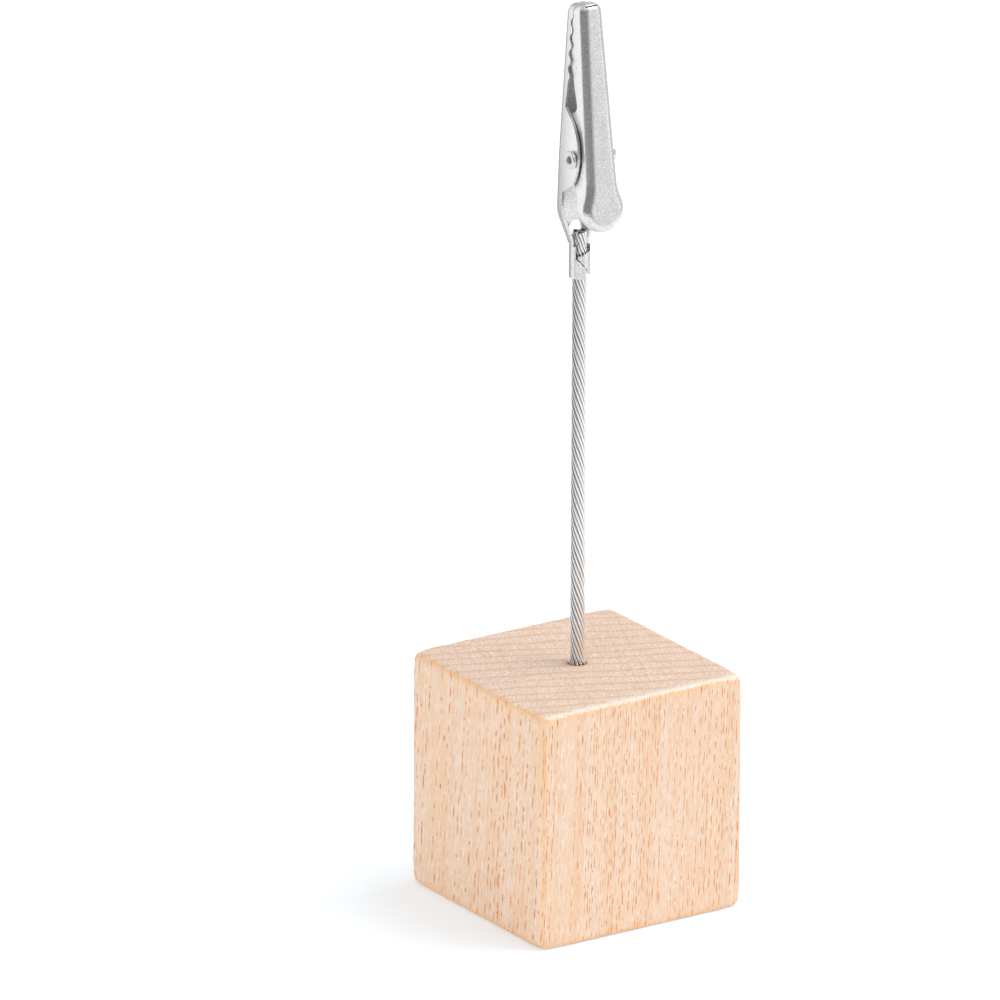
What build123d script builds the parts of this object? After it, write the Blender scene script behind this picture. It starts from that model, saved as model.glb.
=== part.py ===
# A photo holder: a beech block, a stem of stranded wire rope glued into it and a spring clip crimped on the rope.
# Millimetres. Z is up, the block stands on Z = 0 and the rope's axis is the Z axis. The clip points up. Its fixed
# jaw is behind (+Y), its moving jaw in front (-Y), and the pivot between them lies along X.
import math
import os

from build123d import *

# Wooden block
block_width = 40.0
block_depth = 40.0
block_height = 41.4
block_round = 1.0
bore_depth = 20.0
glue_layer = 0.35  # between the rope and the wall of the bore
glue_below_mouth = 0.5

# Wire rope: its outer wires show as ridges
rope_diameter = 2.5
outer_wires = 12
rope_groove = 0.22  # depth between two wires
rope_lay = 19.5  # height of one turn of a wire, laid to the left
stem_length = 68.4  # rope in sight between the block and the clip
rope_in_clip = 8.1
rope_end_gap = 0.3  # below the rope, down to the bottom of the bore

# Spring clip, pressed from sheet
sheet = 0.5
bend_radius = 1.0  # outside of the fixed jaw's bends between floor and flanks
back_bend_radius = 1.4  # the same for the moving jaw
pivot_above_crimp = 22.0  # from the lower end of the crimp
pivot_in_front = 3.0  # of the rope's axis
tip_half_width = 2.1
tip_corner_radius = 1.6

# Fixed jaw, measured along its floor from the pivot, and in depth from the outside of the floor
fixed_reach = 25.9  # from the pivot to the tip
floor_lean = 0.7  # degrees, towards the moving jaw
ear_half_width = 3.6
shoulder_half_width = 3.9
shoulder_below_pivot = 10.3
shoulder_radius = 6.0
neck_below_pivot = 15.6
neck_radius = 1.5
bite_depth = 2.3  # where the teeth of the jaws meet
throat_depth = 1.6
throat_above_pivot = 8.4
ear_depth = 6.2
ear_top = 6.8  # above the pivot
ear_top_depth = 3.4
ear_foot = 4.7  # below the pivot
ear_foot_depth = 4.6
ear_cut = 1.7  # how far the cut under the ear drops to the low flank
flank_depth = 2.0
screw_hole_diameter = 2.7
screw_hole_below_pivot = 13.8

# Crimp: the lower end of the fixed jaw, rolled round the rope
crimp_length = 5.7
crimp_window_angle = 54.0  # degrees to each side, of the open front above the tabs
crimp_tab_height = 4.3  # of the right tab's upper edge, in the middle
crimp_tab_slope = 16.0  # degrees
crimp_tab_tip = 1.2  # how far the right tab reaches past the middle
crimp_tab_end = 0.1  # where the left tab ends, past the middle
crimp_seam = 0.2
crimp_seam_height = 1.9  # of the slanting seam under the right tab, in the middle
crimp_seam_slope = 49.0  # degrees
crimp_funnel = 2.5  # height of the funnel between the crimp and the jaw's floor
crimp_funnel_widening = 1.0

# Teeth
fixed_teeth = 5
moving_teeth = 4
tooth_pitch = 2.65
fixed_tooth_height = 0.6
moving_tooth_height = 0.3
teeth_from_tip = 1.6
tip_slit = 0.8  # how far the moving jaw is cut back from the fixed jaw at its tip
tip_seam = 0.3  # open seam of the fold over the moving jaw's tip
tip_seam_length = 2.4

# Moving jaw, measured along its back from the pivot, and in depth from the outside of the back
moving_reach = 26.4  # from the pivot to the tip
back_lean = 7.1  # degrees, towards the fixed jaw
back_to_pivot = 3.85
jaw_throat_depth = 2.9
jaw_throat_foot = 9.3  # above the pivot
lug_top = 7.8  # above the pivot
lug_top_depth = 4.3
lug_radius = 2.2  # of the flank behind the pivot
lug_half_length = 1.8
lever_top = 4.6  # below the pivot
lever_top_depth = 4.6
lever_waist = 6.8  # below the pivot
lever_waist_depth = 3.3
pad_radius = 3.95
pad_below_pivot = 8.65
pad_waist_radius = 9.0
pad_rim_depth = 1.5

# Pivot rivet, a tube with rolled ends
shank_diameter = 2.2
rivet_bore = 1.3
rivet_mouth_chamfer = 0.2
rivet_head_diameter = 3.1
rivet_head_length = 0.6
rivet_head_chamfer = 0.3

# Torsion spring
spring_wire = 0.55
spring_wire_sides = 5
spring_coil_radius = 1.65  # to the middle of the wire
spring_turns = 3  # whole turns, besides the part turn from leg to leg
spring_pitch = 1.2
spring_leg = 8.8  # from the pivot down to the feet of the legs

# Fits
glue_fit = 0.02
crimp_fit = 0.02
jaw_side_gap = 0.25  # between the flanks of the jaws at the pivot
bite_gap = 0.1
pivot_fit = 0.08  # radial, in the moving jaw
rivet_fit = 0.03  # radial, in the fixed jaw
rivet_head_gap = 0.06  # under the heads, because the ears taper
spring_touch = 0.05  # between the legs' feet and the sheet they press on

# Places that follow from the sizes
rope_radius = rope_diameter / 2
bore_diameter = rope_diameter + 2 * glue_layer
bore_bottom = block_height - bore_depth
rope_bottom = bore_bottom + rope_end_gap
glue_top = block_height - glue_below_mouth
crimp_bottom = block_height + stem_length
crimp_top = crimp_bottom + crimp_length
rope_top = crimp_bottom + rope_in_clip
crimp_inside = rope_radius + crimp_fit
crimp_outside = crimp_inside + sheet
pivot = Vector(0, -pivot_in_front, crimp_bottom + pivot_above_crimp)
moving_half_width = ear_half_width - sheet - jaw_side_gap
pad_end = -pad_below_pivot - pad_radius
beyond = 30.0  # longer than any cut has to be


def depth_way(lean, side):
    """The way into a jaw's depth: side is -1 for the fixed jaw behind and 1 for the moving jaw in front."""
    return Vector(0, side * math.cos(math.radians(lean)), -math.sin(math.radians(lean)))


def jaw_frame(floor_to_pivot, lean, side):
    """A frame on the outside of a jaw's floor, level with the pivot: y along the jaw, z into its depth."""
    way = depth_way(lean, side)
    return Plane(origin=pivot - way * floor_to_pivot, x_dir=(-side, 0, 0), z_dir=way)


floor_to_pivot = (pivot - Vector(0, crimp_outside, rope_top)).dot(depth_way(floor_lean, -1))
fixed_frame = jaw_frame(floor_to_pivot, floor_lean, -1)
moving_frame = jaw_frame(back_to_pivot, back_lean, 1)


def on_moving_jaw(along, depth):
    """A point of the fixed jaw, as (along, depth), in the moving jaw's own frame."""
    local = moving_frame.to_local_coords(fixed_frame.from_local_coords(Vector(0, along, depth)))
    return local.Y, local.Z


def tube(outside, inside, bottom, top):
    return extrude(Pos(0, 0, bottom) * (Circle(outside) - Circle(inside)), top - bottom)


def across_pivot(radius):
    """A rod along the pivot, longer than the clip is wide."""
    return Pos(pivot) * Rot(0, 90, 0) * Cylinder(radius, beyond)


# Block and glue
def wood_block():
    solid = extrude(Rectangle(block_width, block_depth), block_height)
    bore = extrude(Pos(0, 0, bore_bottom) * Circle(bore_diameter / 2), bore_depth)
    return fillet(solid.edges(), block_round) - bore


def glue():
    return tube(bore_diameter / 2 - glue_fit, rope_radius + glue_fit, bore_bottom, glue_top)


# Wire rope
def rope_section():
    """The rope cut across, with a ridge for each outer wire."""
    points = []
    for number in range(2 * outer_wires):
        radius = rope_radius - rope_groove * (number % 2)
        points.append(Vector(radius, 0).rotate(Axis.Z, 180 / outer_wires * number))
    return make_face(Polyline(*points, close=True))


def wire_rope():
    """The rope is plain where the glue fills its grooves, and twisted above that."""
    laid = rope_top - glue_top
    twist = -360 * laid / rope_lay
    above = Solid.extrude_linear_with_rotation(rope_section().face(), (0, 0, 0), (0, 0, laid), twist)
    in_glue = extrude(Pos(0, 0, rope_bottom) * Circle(rope_radius), glue_top - rope_bottom)
    return in_glue + Pos(0, 0, glue_top) * above


# Pressed jaws
def pressed(plan, depth, bend):
    """A sheet pressed into an open tray, the outside of its floor on Z = 0. Its bends are round outside, and cut
    straight inside, so that they are as thick as the sheet."""
    def floor_edges(block):
        return block.faces().sort_by(Axis.Z)[0].edges()

    outside = extrude(plan, depth)
    inside = extrude(Pos(0, 0, sheet) * offset(plan, -sheet), depth)
    inside_cut = (bend - sheet) * (2 - math.sqrt(2))
    return fillet(floor_edges(outside), bend) - chamfer(floor_edges(inside), inside_cut)


def mirrored_plan(half):
    """A plan from the points of its right half, listed from the tip downwards."""
    return make_face(Polyline(*half, *[(-x, y) for x, y in reversed(half)], close=True))


def corners_at(plan, height):
    return [corner for corner in plan.vertices() if abs(corner.Y - height) < 1e-6]


def fixed_plan():
    plan = mirrored_plan([(tip_half_width, fixed_reach), (ear_half_width, 0),
                          (shoulder_half_width, -shoulder_below_pivot),
                          (crimp_outside, -neck_below_pivot), (crimp_outside, -beyond)])
    rounds = ((fixed_reach, tip_corner_radius), (-shoulder_below_pivot, shoulder_radius),
              (-neck_below_pivot, neck_radius))
    for height, radius in rounds:
        plan = fillet(corners_at(plan, height), radius)
    return plan


def moving_plan():
    widening = (moving_half_width - tip_half_width) / moving_reach
    pad_half_width = moving_half_width + widening * pad_below_pivot
    plan = mirrored_plan([(tip_half_width, moving_reach), (pad_half_width, -pad_below_pivot)])
    plan += Pos(0, -pad_below_pivot) * Circle(pad_radius)
    waist = [corner for corner in plan.vertices() if -pad_below_pivot < corner.Y < 0]
    plan = fillet(waist, pad_waist_radius)
    return fillet(corners_at(plan, moving_reach), tip_corner_radius)


def tooth_points(count, top_depth, root_depth):
    """Points of a row of rounded teeth from the tip down to behind the last top, as (along, depth)."""
    middle = (top_depth + root_depth) / 2
    quarter = tooth_pitch / 4
    first = fixed_reach - teeth_from_tip
    points = [(first + quarter, middle)]
    for top in [first - number * tooth_pitch for number in range(count)]:
        points += [(top, top_depth), (top - quarter, middle)]
        points += [(top - 2 * quarter, root_depth), (top - 3 * quarter, middle)]
    return points[:-2]


def draw_teeth(points):
    for start, middle, end in zip(points[0::2], points[1::2], points[2::2]):
        ThreePointArc(start, middle, end)


def draw_fixed_side():
    points = tooth_points(fixed_teeth, bite_depth, bite_depth - fixed_tooth_height)
    neck_end = crimp_top - pivot.Z - sheet
    Polyline((neck_end, flank_depth), (neck_end, -beyond), (fixed_reach + beyond, -beyond),
             (fixed_reach + beyond, points[0][1]), points[0])
    draw_teeth(points)
    Polyline(points[-1], (throat_above_pivot, throat_depth), (ear_top, ear_top_depth))
    ThreePointArc((ear_top, ear_top_depth), (0, ear_depth), (-ear_foot, ear_foot_depth))
    Polyline((-ear_foot, ear_foot_depth), (-ear_foot - ear_cut, flank_depth), (neck_end, flank_depth))


def draw_moving_side():
    top_depth = bite_depth + bite_gap
    row = tooth_points(moving_teeth, top_depth, top_depth - moving_tooth_height)
    points = [on_moving_jaw(along, depth) for along, depth in row]
    lug_end = back_to_pivot + math.sqrt(lug_radius**2 - lug_half_length**2)
    tip_depth = points[0][1] - tip_slit
    Polyline((pad_end - beyond, pad_rim_depth), (pad_end - beyond, -beyond), (moving_reach + beyond, -beyond),
             (moving_reach + beyond, tip_depth), (moving_reach, tip_depth), points[0])
    draw_teeth(points)
    throat = Line(points[-1], (jaw_throat_foot, jaw_throat_depth))
    TangentArc(throat @ 1, (lug_top, lug_top_depth), tangent=throat % 1)
    Line((lug_top, lug_top_depth), (lug_half_length, lug_end))
    ThreePointArc((lug_half_length, lug_end), (0, back_to_pivot + lug_radius), (-lug_half_length, lug_end))
    Polyline((-lug_half_length, lug_end), (-lever_top, lever_top_depth), (-lever_waist, lever_waist_depth),
             (pad_end, pad_rim_depth), (pad_end - beyond, pad_rim_depth))


def flanks(draw_side):
    """The space that a jaw's flanks may fill, from its outline seen along the pivot."""
    with BuildSketch(Plane.YZ) as side:
        with BuildLine():
            draw_side()
        make_face()
    return extrude(side.sketch, beyond, both=True)


def crimp():
    """A tube with its front cut away, but for a pointed right tab and a left tab that meet at a slanting seam."""
    def tab_edge(x):
        return x, crimp_tab_height + x * math.tan(math.radians(crimp_tab_slope))

    def seam_edge(x, width=0):
        slope = math.radians(crimp_seam_slope)
        return x, crimp_seam_height - x * math.tan(slope) + width / math.cos(slope)

    half_window = crimp_outside * math.sin(math.radians(crimp_window_angle))
    right = 2 * crimp_outside
    outline = Polyline((-half_window, beyond), seam_edge(-half_window), seam_edge(crimp_tab_end),
                       (crimp_tab_end, -beyond), (right, -beyond), seam_edge(right, crimp_seam),
                       seam_edge(-crimp_tab_tip, crimp_seam), tab_edge(-crimp_tab_tip), tab_edge(half_window),
                       (half_window, beyond), close=True)
    front = extrude(Plane.XZ * make_face(outline), beyond)
    return tube(crimp_outside, crimp_inside, crimp_bottom, crimp_top) - Pos(0, 0, crimp_bottom) * front


def crimp_funnel_cut():
    """What the round funnel above the crimp leaves off the square neck of the jaw."""
    around = extrude(Pos(0, 0, crimp_bottom) * Rectangle(beyond, beyond), crimp_top - crimp_bottom + crimp_funnel)
    funnel = Cone(crimp_outside, crimp_outside + crimp_funnel_widening, crimp_funnel,
                  align=(Align.CENTER, Align.CENTER, Align.MIN))
    below = extrude(Pos(0, 0, crimp_bottom) * Circle(crimp_outside), crimp_top - crimp_bottom)
    return around - (below + Pos(0, 0, crimp_top) * funnel)


def fixed_jaw():
    tray = pressed(fixed_plan(), ear_depth + sheet, bend_radius) & flanks(draw_fixed_side)
    tray -= Pos(0, -screw_hole_below_pivot, 0) * Cylinder(screw_hole_diameter / 2, 3 * sheet)
    tray = fixed_frame.location * tray - crimp_funnel_cut()
    return tray + crimp() - across_pivot(shank_diameter / 2 + rivet_fit)


def moving_jaw():
    tray = pressed(moving_plan(), back_to_pivot + lug_radius + sheet, back_bend_radius)
    tray &= flanks(draw_moving_side)
    fold = Pos(0, moving_reach - back_bend_radius, back_bend_radius) * Rot(45, 0, 0)
    tray -= fold * Pos(0, 0, -back_bend_radius) * Box(tip_seam_length, tip_seam, 3 * sheet)
    return moving_frame.location * tray - across_pivot(shank_diameter / 2 + pivot_fit)


# Pivot rivet
def pivot_rivet():
    under_head = ear_half_width + rivet_head_gap
    half_length = under_head + rivet_head_length
    head = Cylinder(rivet_head_diameter / 2, rivet_head_length, align=(Align.CENTER, Align.CENTER, Align.MAX))
    head = chamfer(head.edges().filter_by(GeomType.CIRCLE).sort_by(Axis.Z)[-1], rivet_head_chamfer)
    body = Cylinder(shank_diameter / 2, 2 * half_length - rivet_head_length)
    body += Pos(0, 0, half_length) * head
    body += Rot(180, 0, 0) * Pos(0, 0, half_length) * head
    body -= Cylinder(rivet_bore / 2, 2 * half_length)
    mouths = body.edges().filter_by(GeomType.CIRCLE).sort_by(Axis.Z)
    mouths = [edge for edge in mouths if abs(edge.radius - rivet_bore / 2) < 1e-6]
    return Pos(pivot) * Rot(0, 90, 0) * chamfer(mouths, rivet_mouth_chamfer)


# Torsion spring
def biarc(start, start_way, end, end_way):
    """Two arcs that leave the start and reach the end along the given directions."""
    across = end - start
    ways = start_way + end_way
    turned = 2 * (1 - start_way.dot(end_way))
    along = across.dot(ways)
    reach = (math.sqrt(along**2 + turned * across.dot(across)) - along) / turned
    before = start + start_way * reach
    after = end - end_way * reach
    middle = (before + after) / 2
    return [TangentArc(start, middle, tangent=start_way),
            TangentArc(middle, end, tangent=(after - before).normalized())]


def tangent_angle(foot, side):
    """The angle round the pivot, in the YZ plane, at which a straight leg from a foot leaves the coil."""
    arm = foot - pivot
    distance = math.hypot(arm.Y, arm.Z)
    return math.atan2(arm.Z, arm.Y) + side * math.acos(spring_coil_radius / distance)


def spring_path():
    foot_depth = sheet + spring_wire / 2 + spring_touch
    floor_foot = fixed_frame.from_local_coords(Vector(0, -spring_leg, foot_depth))
    lever_foot = moving_frame.from_local_coords(Vector(0, -spring_leg, foot_depth))
    first = tangent_angle(floor_foot, 1)
    last = tangent_angle(lever_foot, -1) + 2 * math.pi * (spring_turns + 1)
    steps = round((last - first) / (math.pi / 2))
    turn = (last - first) / steps
    rise = spring_pitch * turn / (2 * math.pi)
    half_width = rise * (steps - 1) / 2
    nodes = []
    for number in range(steps + 1):
        angle = first + turn * number
        at_end = number in (0, steps)
        x = half_width - rise * min(max(number - 0.5, 0), steps - 1)
        place = pivot + Vector(x, spring_coil_radius * math.cos(angle), spring_coil_radius * math.sin(angle))
        way = Vector(0 if at_end else -rise / turn, -spring_coil_radius * math.sin(angle),
                     spring_coil_radius * math.cos(angle))
        nodes.append((place, way.normalized()))
    edges = [Line(floor_foot + Vector(nodes[0][0].X, 0, 0), nodes[0][0])]
    for (start, start_way), (end, end_way) in zip(nodes, nodes[1:]):
        edges += biarc(start, start_way, end, end_way)
    edges.append(Line(nodes[-1][0], lever_foot + Vector(nodes[-1][0].X, 0, 0)))
    return Wire([edge.edge() for edge in edges])


def least_gap(path):
    """The least clear distance between stretches of the spring that lie at least half a turn apart."""
    spacing = 0.1
    count = int(path.length / spacing)
    points = [path.position_at(number / count) for number in range(count + 1)]
    apart = int(math.pi * spring_coil_radius / spacing)
    return min((points[a] - points[b]).length for a in range(count + 1)
               for b in range(a + apart, count + 1)) - spring_wire


def torsion_spring():
    path = spring_path()
    print("least gap of the spring to itself:", round(least_gap(path), 3), "mm")
    return sweep(Plane(path @ 0, z_dir=path % 0) * RegularPolygon(spring_wire / 2, spring_wire_sides), path=path)


pieces = {
    "wood_block": wood_block,
    "glue": glue,
    "wire_rope": wire_rope,
    "fixed_jaw": fixed_jaw,
    "moving_jaw": moving_jaw,
    "pivot_rivet": pivot_rivet,
    "torsion_spring": torsion_spring,
}
os.makedirs("parts", exist_ok=True)
for name, make in pieces.items():
    solid = make()
    export_step(solid, f"parts/{name}.step")
    print(name, "solids:", len(solid.solids()), "volume:", round(solid.volume, 2))
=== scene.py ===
# %% [markdown]
# A photo holder: a beech cube, a stem of stranded wire rope and a small sprung clip with toothed jaws. Everything
# is in metres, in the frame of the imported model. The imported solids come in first, and each later cell either gives
# one of them its finish or puts a finer piece in its place. Sizes below are written in millimetres, as a maker
# would say them, and multiplied by mm.

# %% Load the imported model
import math

import bmesh
import bpy
from mathutils import Matrix, Vector, noise


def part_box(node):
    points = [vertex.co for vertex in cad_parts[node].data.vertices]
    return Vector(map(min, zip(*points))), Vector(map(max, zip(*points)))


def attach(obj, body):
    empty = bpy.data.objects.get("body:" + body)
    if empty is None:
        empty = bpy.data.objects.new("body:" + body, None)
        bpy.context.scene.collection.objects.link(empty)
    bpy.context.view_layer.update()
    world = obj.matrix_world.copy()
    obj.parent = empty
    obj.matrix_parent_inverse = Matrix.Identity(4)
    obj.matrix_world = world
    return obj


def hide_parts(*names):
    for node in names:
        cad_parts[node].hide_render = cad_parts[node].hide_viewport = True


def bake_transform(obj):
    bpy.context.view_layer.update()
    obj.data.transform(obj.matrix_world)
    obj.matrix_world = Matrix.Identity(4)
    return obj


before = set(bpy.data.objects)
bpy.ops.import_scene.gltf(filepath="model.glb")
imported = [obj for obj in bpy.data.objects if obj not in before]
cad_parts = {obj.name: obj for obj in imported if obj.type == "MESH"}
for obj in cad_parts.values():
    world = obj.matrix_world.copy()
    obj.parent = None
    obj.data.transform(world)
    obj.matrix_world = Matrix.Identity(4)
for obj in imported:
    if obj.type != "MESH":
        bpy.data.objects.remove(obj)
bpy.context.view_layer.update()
mm = 0.001
scene = bpy.context.scene

# %% [markdown]
# The photograph was taken from far away with a long lens, from a little above and from the block's left front. The
# camera stands 3.5 m from a point halfway up the stem, and looks a little to the left of it, because the holder
# stands right of the middle of the picture. Turning the camera is better than shifting its lens, because other
# views keep the shift.

# %% Camera
look_height = 70.0
distance = 3500.0
azimuth = math.radians(-33.881)
elevation = math.radians(19.699)
roll = math.radians(0.323)
picture_width = 1000.0
focal_pixels = 20966.36
aim_left = 13.04
aim_up = 0.26

back = Vector((math.sin(azimuth) * math.cos(elevation), -math.cos(azimuth) * math.cos(elevation),
               math.sin(elevation)))
level_right = Vector((math.cos(azimuth), math.sin(azimuth), 0))
right = (level_right * math.cos(roll) + back.cross(level_right) * math.sin(roll)).normalized()
middle = Vector((0, 0, look_height))
eye = middle + back * distance
aim = middle - right * aim_left + back.cross(right) * aim_up
backward = (eye - aim).normalized()
sideways = (right - backward * right.dot(backward)).normalized()
turned = Matrix((sideways, backward.cross(sideways), backward)).transposed()

lens = bpy.data.cameras.new("camera")
lens.sensor_width = 36.0
lens.lens = focal_pixels * lens.sensor_width / picture_width
lens.clip_end = 100.0
camera = bpy.data.objects.new("camera", lens)
camera.matrix_world = Matrix.Translation(eye * mm) @ turned.to_4x4()
scene.collection.objects.link(camera)
scene.camera = camera
print("lens:", round(lens.lens, 1), "mm, eye:", [round(c * mm, 3) for c in eye])

# %% [markdown]
# The holder stands on white. The floor glows a little, as a light table does, which keeps it white in the picture,
# and it is a cool white, because the wood throws warm light on it. In reflections it is a plain grey, so that it
# lends the metal no tint. A finish can tell the two apart, because Blender says for each ray what it is for.

# %% Studio: table
def add_mesh(name, corners, faces, smooth=False):
    """A new mesh object in the scene, from corners in metres."""
    mesh = bpy.data.meshes.new(name)
    mesh.from_pydata(corners, [], faces)
    mesh.validate()
    if smooth:
        mesh.shade_smooth()
    piece = bpy.data.objects.new(name, mesh)
    scene.collection.objects.link(piece)
    return piece


def by_ray(tree, kind, otherwise, for_kind, socket):
    """Sets a socket to one value for rays of that kind, and to another for all the rest."""
    path = tree.nodes.new("ShaderNodeLightPath")
    choice = tree.nodes.new("ShaderNodeMapRange")
    choice.inputs["To Min"].default_value = otherwise
    choice.inputs["To Max"].default_value = for_kind
    tree.links.new(path.outputs[kind], choice.inputs["Value"])
    tree.links.new(choice.outputs["Result"], socket)


def studio_finish(name, colour, mirrored_grey, glow, mirrored_glow):
    """A plain rough finish for what stands round the holder. Reflections see a grey and a glow of their own."""
    material = bpy.data.materials.new(name)
    material.use_nodes = True
    shader = material.node_tree.nodes["Principled BSDF"]
    parts = material.node_tree.nodes.new("ShaderNodeCombineColor")
    material.node_tree.links.new(parts.outputs["Color"], shader.inputs["Base Color"])
    for level, socket in zip(colour, parts.inputs):
        by_ray(material.node_tree, "Is Glossy Ray", level, mirrored_grey, socket)
    shader.inputs["Roughness"].default_value = 0.9
    shader.inputs["Emission Color"].default_value = (1, 1, 1, 1)
    by_ray(material.node_tree, "Is Glossy Ray", glow, mirrored_glow, shader.inputs["Emission Strength"])
    return material


floor_radius = 0.75
floor_sides = 72
cool_white = (0.742, 0.8, 0.85)
rim = [Vector((floor_radius * math.cos(a), floor_radius * math.sin(a), 0))
       for a in (2 * math.pi * number / floor_sides for number in range(floor_sides))]
floor = add_mesh("floor", rim, [list(range(floor_sides))])
white_table = studio_finish("white_table", cool_white, mirrored_grey=0.8, glow=0.26, mirrored_glow=0.06)
floor.data.materials.append(white_table)
print("floor radius:", floor_radius, "m")

# %% [markdown]
# Bright metal shows what stands round it, and a tent that is white all over would leave the clip flat, so
# photographers of metal put up white, grey and black cards. This cell does the same with a ring of cards round the
# holder, which only reflections see. The white one brightens the clip's flanks, the dark one draws the dark band
# along the moving jaw's bend, and a row of greys between dark and pale softens the band's edge. One more grey card
# lies on the floor behind the holder and outlines the clip's left edge.

# %% Studio: cards
ring_radius = 0.3
ring_foot = (ring_radius, 0.001)
ring_top = (ring_radius, 0.4)
off_table = (ring_radius, 0.04)
card_cells = 8
black = (0, 0, 0)


def card(start, end, brightness, low=ring_foot, high=ring_top):
    """A curved card between two angles round the holder, in degrees, that only reflections see. Its lower and upper
    edges are given by their radius and height."""
    angles = [math.radians(start + (end - start) * n / card_cells) for n in range(card_cells + 1)]
    corners = [(radius * math.cos(a), radius * math.sin(a), height)
               for radius, height in (low, high) for a in angles]
    row = len(angles)
    piece = add_mesh("card", corners, [(n, n + 1, n + 1 + row, n + row) for n in range(card_cells)], smooth=True)
    finish = studio_finish("card", black, mirrored_grey=0, glow=brightness, mirrored_glow=brightness)
    piece.data.materials.append(finish)
    piece.visible_camera = False
    piece.visible_diffuse = False
    piece.visible_shadow = False
    return piece


ring_cards = (
    (60, 95, 0.45), (95, 106, 0.72), (106, 151, 0.97), (151, 266, 0.24, off_table),
    (266, 272, 0.36), (272, 278, 0.46), (278, 284, 0.56), (284, 290, 0.66), (290, 297, 0.75),
    (297, 304, 0.83), (304, 311, 0.9), (311, 318, 0.97), (318, 332, 1.04), (332, 420, 0.66),
)
floor_card = (35, 110, 0.6, (0.1, 0.002), (0.29, 0.002))
cards = [card(*place) for place in (*ring_cards, floor_card)]
print("cards:", len(cards))

# %% [markdown]
# The light comes from all round, so the white world does much of the lighting. A large soft light on the right
# makes the faint shadow to the left of the block, and a weaker one on the left fills the side that it leaves dark.
# The camera sees a brighter world than the holder does, which keeps the background a clean white. The plain view
# transform shows that white as it is, where a filmic one would turn it grey.

# %% Studio: lights
scene.view_settings.view_transform = "Standard"
lamp_target = Vector((0, 0, 0.05))
room_strength = 0.7
seen_strength = 1.3


def soft_lamp(name, place, size, power):
    """A square soft light that shines on the holder."""
    light = bpy.data.lights.new(name, "AREA")
    light.shape = "SQUARE"
    light.size = size
    light.energy = power
    lamp = bpy.data.objects.new(name, light)
    lamp.location = place
    lamp.rotation_euler = (lamp_target - lamp.location).to_track_quat("-Z", "Y").to_euler()
    scene.collection.objects.link(lamp)
    return lamp


main_lamp = soft_lamp("main_light", place=(0.6, -0.3, 1.1), size=0.9, power=10.0)
fill_lamp = soft_lamp("fill_light", place=(-0.9, -0.5, 0.35), size=0.8, power=3.2)
fill_lamp.visible_glossy = False

world = bpy.data.worlds.new("white_room")
scene.world = world
world.use_nodes = True
room = world.node_tree
backdrop = room.nodes["Background"]
by_ray(room, "Is Camera Ray", room_strength, seen_strength, backdrop.inputs["Strength"])
backdrop.inputs["Color"].default_value = (1, 1, 1, 1)
print("lights:", [lamp.data.energy for lamp in (main_lamp, fill_lamp)], "W")

# %% [markdown]
# Every finish below is a small network of nodes. These helpers keep the networks readable: each adds one node,
# joins what goes into it and hands back its result. A plain number or colour may stand where a result can.

# %% Helpers: numbers and colours
def feed(tree, socket, value):
    """Joins a result to a socket, or sets the socket to a plain value."""
    if isinstance(value, bpy.types.NodeSocket):
        tree.links.new(value, socket)
    else:
        socket.default_value = value


def reckon(tree, operation, *values):
    """A number worked out from one, two or three others."""
    node = tree.nodes.new("ShaderNodeMath")
    node.operation = operation
    for socket, value in zip(node.inputs, values):
        feed(tree, socket, value)
    return node.outputs[0]


def reckon_vector(tree, operation, *values, result="Vector"):
    """A vector, or with result="Value" a number, worked out from vectors."""
    node = tree.nodes.new("ShaderNodeVectorMath")
    node.operation = operation
    for socket, value in zip(node.inputs, values):
        feed(tree, socket, value)
    return node.outputs[result]


def soft_step(tree, value, low, high):
    """0 below low, 1 above high, and a smooth rise between. With low above high it falls instead."""
    node = tree.nodes.new("ShaderNodeMapRange")
    node.interpolation_type = "SMOOTHSTEP"
    feed(tree, node.inputs["Value"], value)
    feed(tree, node.inputs["From Min"], low)
    feed(tree, node.inputs["From Max"], high)
    return node.outputs["Result"]


def spread(tree, value, low, high, start=0.0, end=1.0):
    """A number between start and end, spread evenly over the range from low to high."""
    node = tree.nodes.new("ShaderNodeMapRange")
    feed(tree, node.inputs["Value"], value)
    feed(tree, node.inputs["From Min"], start)
    feed(tree, node.inputs["From Max"], end)
    feed(tree, node.inputs["To Min"], low)
    feed(tree, node.inputs["To Max"], high)
    return node.outputs["Result"]


def tint(tree, share, first, second):
    """A mix of two colours, all of the second where share is 1."""
    node = tree.nodes.new("ShaderNodeMix")
    node.data_type = "RGBA"
    feed(tree, node.inputs[0], share)
    feed(tree, node.inputs[6], first)
    feed(tree, node.inputs[7], second)
    return node.outputs[2]


def gather(tree, x, y, z):
    """A vector from three numbers."""
    node = tree.nodes.new("ShaderNodeCombineXYZ")
    for socket, value in zip(node.inputs, (x, y, z)):
        feed(tree, socket, value)
    return node.outputs["Vector"]


def grey(level):
    """A grey colour."""
    return (level, level, level, 1)


print("a middle grey is", grey(0.5))

# %% [markdown]
# Nothing real is even, so the finishes need chance, but chance that is the same at each run. Blender has noise for
# soft clouds, white noise for random numbers that belong to a place, and Voronoi cells for scattered points. Each
# helper here wraps one of them, and sizes are in metres, so that a mark can be given its real size.

# %% Helpers: clouds and scattered marks
def cloud(tree, place, size, detail=2.0):
    """Soft noise from 0 to 1 whose lumps are as large as size, along x, y and z."""
    node = tree.nodes.new("ShaderNodeTexNoise")
    node.inputs["Scale"].default_value = 1.0
    node.inputs["Detail"].default_value = detail
    feed(tree, node.inputs["Vector"], reckon_vector(tree, "DIVIDE", place, size))
    return node.outputs["Fac"]


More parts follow.
